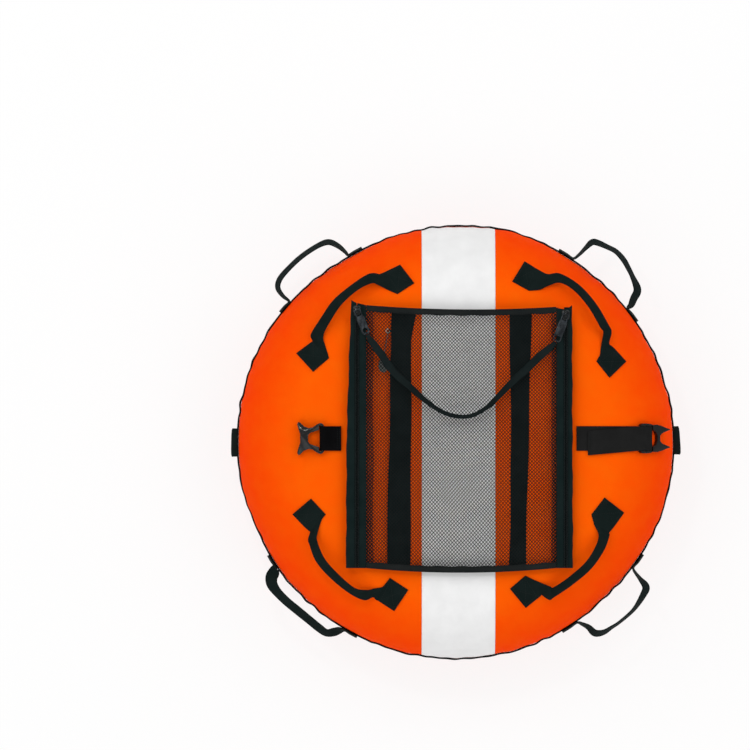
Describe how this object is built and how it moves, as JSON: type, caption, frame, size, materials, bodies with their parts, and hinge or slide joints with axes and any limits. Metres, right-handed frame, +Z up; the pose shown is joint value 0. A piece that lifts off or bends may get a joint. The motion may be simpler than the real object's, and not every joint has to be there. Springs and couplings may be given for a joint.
{
  "type": "inflatable training buoy",
  "caption": "Round inflatable training buoy: sewn cloth cover over an air ring, zipped mesh gear pocket, webbing handles, side-release buckle and a line ring underneath.",
  "frame": {"origin": "under the middle of the buoy, on the surface it rests on", "axes": "+Z up through the mesh pocket, +X from the left side loop to the right one, +Y towards the pocket's mouth"},
  "size_m": [0.8286, 0.7996, 0.2646],
  "materials": {
    "orange_cloth": "coated woven nylon, slightly shiny",
    "white_cloth": "coated woven nylon, slightly shiny",
    "bladder_film": "smooth film",
    "black_trim": "woven tape and knitted mesh",
    "black_webbing": "woven webbing",
    "black_plastic": "smooth moulded",
    "slider_metal": "dark plated",
    "ring_steel": "polished",
    "grey_rubber": "moulded, matt"
  },
  "bodies": {
    "buoy": {"access_coil_left": "black_plastic", "access_coil_right": "black_plastic", "access_flap": "black_trim", "access_tape_left": "black_trim", "access_tape_right": "black_trim", "bladder": "bladder_film", "bottom_strap_x": "black_webbing", "bottom_strap_y": "black_webbing", "buckle_female": "black_plastic", "buckle_male": "black_plastic", "buckle_strap": "black_webbing", "buckle_tab": "black_webbing", "cover_bottom": "orange_cloth", "cover_stripe": "white_cloth", "cover_top_left": "orange_cloth", "cover_top_right": "orange_cloth", "inner_band_right": "black_trim", "pocket_bottom_binding": "black_trim", "pocket_gusset_bottom": "black_trim", "pocket_gusset_left": "black_trim", "pocket_gusset_right": "black_trim", "pocket_mesh": "black_trim", "pocket_top_binding": "black_trim", "rim_handle_lower_left": "black_webbing", "rim_handle_lower_right": "black_webbing", "rim_handle_upper_left": "black_webbing", "rim_handle_upper_right": "black_webbing", "rim_piping": "black_trim", "ring_keeper": "black_webbing", "side_loop_left": "black_webbing", "side_loop_right": "black_webbing", "top_handle_lower_left": "black_webbing", "top_handle_lower_right": "black_webbing", "top_handle_upper_left": "black_webbing", "top_handle_upper_right": "black_webbing", "valve_body": "bladder_film", "valve_plug": "black_plastic", "zip_coil_left_inner": "black_plastic", "zip_coil_left_outer": "black_plastic", "zip_coil_right_inner": "black_plastic", "zip_coil_right_outer": "black_plastic", "zip_tape_left_inner": "black_trim", "zip_tape_left_outer": "black_trim", "zip_tape_right_inner": "black_trim", "zip_tape_right_outer": "black_trim"},
    "left_slider": {"zip_slider_left": "slider_metal", "zip_pull_left": "slider_metal", "pull_cord": "black_webbing"},
    "right_slider": {"zip_slider_right": "slider_metal", "zip_pull_right": "slider_metal"},
    "access_slider": {"access_zip_slider": "slider_metal", "access_pull_ring": "slider_metal", "access_zip_pull": "grey_rubber"},
    "line_ring": {"line_ring": "ring_steel"}
  },
  "joints": [
    {"name": "left_zip", "type": "slide", "parent": "buoy", "child": "left_slider", "axis": [0, -1, 0], "range_m": [0, 0.45]},
    {"name": "right_zip", "type": "slide", "parent": "buoy", "child": "right_slider", "axis": [0, -1, 0], "range_m": [0, 0.45]},
    {"name": "access_zip", "type": "slide", "parent": "buoy", "child": "access_slider", "axis": [0, -1, 0], "range_m": [0, 0.35]},
    {"name": "line_ring_hinge", "type": "hinge", "parent": "buoy", "child": "line_ring", "pos_m": [0, 0, 0.0185], "axis": [1, 0, 0], "range_deg": [-31, 148]}
  ],
  "couplings": [
    {"joint": "right_zip", "follows": "left_zip", "ratio": 1}
  ]
}
